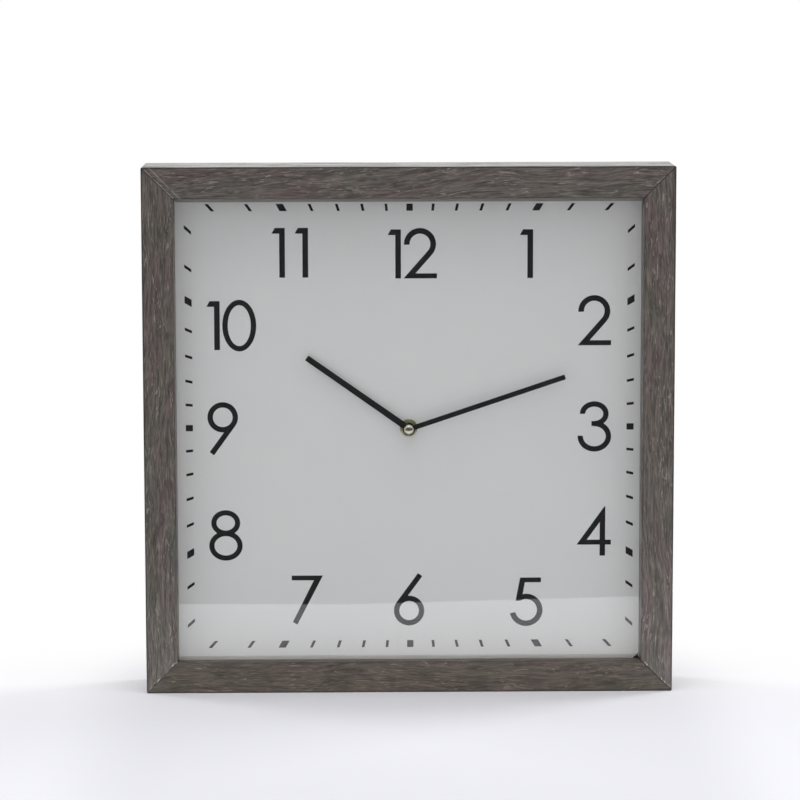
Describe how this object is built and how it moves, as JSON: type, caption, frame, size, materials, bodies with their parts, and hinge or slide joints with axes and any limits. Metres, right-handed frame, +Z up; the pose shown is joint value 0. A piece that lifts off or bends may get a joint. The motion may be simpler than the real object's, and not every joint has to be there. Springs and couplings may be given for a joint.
{
  "type": "square clock",
  "caption": "Square clock: mitred wooden box frame, glass over a recessed dial with black bar hands, quartz movement and wall hanger at the back.",
  "frame": {"origin": "centre of the bounding box at its base: under the middle of the frame, on the surface it stands on", "axes": "+X to the right as the dial is read, +Y from the dial to the back, +Z up"},
  "size_m": [0.4, 0.055, 0.4],
  "materials": {
    "stained_wood": "weathered grey-brown stain, matt",
    "window_glass": "clear, polished",
    "grey_paint": "matt grey paint",
    "dial_paper": "matt print",
    "board": "bare fibreboard",
    "zinc_steel": "zinc plated",
    "pad_rubber": "matt",
    "case_plastic": "fine spark texture",
    "wheel_plastic": "moulded",
    "brass": "bright",
    "nickel": "bright plating",
    "black_paint": "matt black",
    "arbor_steel": "turned",
    "magnet": "ground",
    "enamelled_copper": "enamelled wire",
    "circuit_laminate": "solder mask",
    "cell_wrap": "printed wrap without text"
  },
  "bodies": {
    "clock": {"backing_board": "board", "battery": "cell_wrap", "battery_contact_minus": "zinc_steel", "battery_contact_plus": "zinc_steel", "board_tab_bottom_1": "zinc_steel", "board_tab_bottom_2": "zinc_steel", "board_tab_left_1": "zinc_steel", "board_tab_left_2": "zinc_steel", "board_tab_right_1": "zinc_steel", "board_tab_right_2": "zinc_steel", "board_tab_top_1": "zinc_steel", "board_tab_top_2": "zinc_steel", "circuit_board": "circuit_laminate", "coil_bobbin": "wheel_plastic", "coil_core": "arbor_steel", "coil_winding": "enamelled_copper", "dial_sheet": "dial_paper", "disc_washer": "brass", "frame_bottom_rail": "stained_wood", "frame_left_rail": "stained_wood", "frame_right_rail": "stained_wood", "frame_top_rail": "stained_wood", "glass_pane": "window_glass", "hanger": "zinc_steel", "hanger_nail_1": "zinc_steel", "hanger_nail_2": "zinc_steel", "hex_nut": "brass", "middle_plate": "wheel_plastic", "movement_case": "case_plastic", "movement_cover": "case_plastic", "quartz_crystal": "zinc_steel", "rubber_washer": "pad_rubber", "spacer_bottom": "grey_paint", "spacer_left": "grey_paint", "spacer_right": "grey_paint", "spacer_top": "grey_paint", "stator": "arbor_steel", "threaded_neck": "brass", "v_nail_bottom": "zinc_steel", "v_nail_left": "zinc_steel", "v_nail_right": "zinc_steel", "v_nail_top": "zinc_steel", "wall_pad_left": "pad_rubber", "wall_pad_right": "pad_rubber"},
    "minute": {"minute_arbor": "arbor_steel", "minute_hand": "black_paint", "cap_nut": "nickel"},
    "hour": {"hour_wheel": "wheel_plastic", "hour_hand": "black_paint"},
    "setting": {"setting_arbor": "wheel_plastic", "setting_knob": "case_plastic"},
    "rotor": {"rotor_pinion": "wheel_plastic", "rotor_magnet": "magnet"},
    "intermediate": {"intermediate_wheel": "wheel_plastic"},
    "seconds": {"seconds_wheel": "wheel_plastic"},
    "third": {"third_wheel": "wheel_plastic"},
    "drive": {"drive_wheel": "wheel_plastic"}
  },
  "joints": [
    {"name": "minute_turn", "type": "hinge", "parent": "clock", "child": "minute", "pos_m": [0, 0, 0.2], "axis": [0, 1, 0], "continuous": true},
    {"name": "hour_turn", "type": "hinge", "parent": "clock", "child": "hour", "pos_m": [0, 0, 0.2], "axis": [0, 1, 0], "continuous": true},
    {"name": "setting_turn", "type": "hinge", "parent": "clock", "child": "setting", "pos_m": [0.00585, 0, 0.21013], "axis": [0, 1, 0], "continuous": true},
    {"name": "rotor_turn", "type": "hinge", "parent": "clock", "child": "rotor", "pos_m": [0.01307, 0, 0.19754], "axis": [0, 1, 0], "continuous": true},
    {"name": "intermediate_turn", "type": "hinge", "parent": "clock", "child": "intermediate", "pos_m": [0.00677, 0, 0.19754], "axis": [0, 1, 0], "continuous": true},
    {"name": "seconds_turn", "type": "hinge", "parent": "clock", "child": "seconds", "pos_m": [0, 0, 0.2], "axis": [0, 1, 0], "continuous": true},
    {"name": "third_turn", "type": "hinge", "parent": "clock", "child": "third", "pos_m": [-0.00979, 0, 0.20565], "axis": [0, 1, 0], "continuous": true},
    {"name": "drive_turn", "type": "hinge", "parent": "clock", "child": "drive", "pos_m": [0, 0, 0.2], "axis": [0, 1, 0], "continuous": true}
  ],
  "couplings": [
    {"joint": "hour_turn", "follows": "minute_turn", "ratio": 0.083333},
    {"joint": "setting_turn", "follows": "minute_turn", "ratio": -0.33333},
    {"joint": "intermediate_turn", "follows": "rotor_turn", "ratio": -0.16667},
    {"joint": "seconds_turn", "follows": "rotor_turn", "ratio": 0.033333},
    {"joint": "third_turn", "follows": "rotor_turn", "ratio": -0.0044444},
    {"joint": "drive_turn", "follows": "rotor_turn", "ratio": 0.00055556}
  ]
}
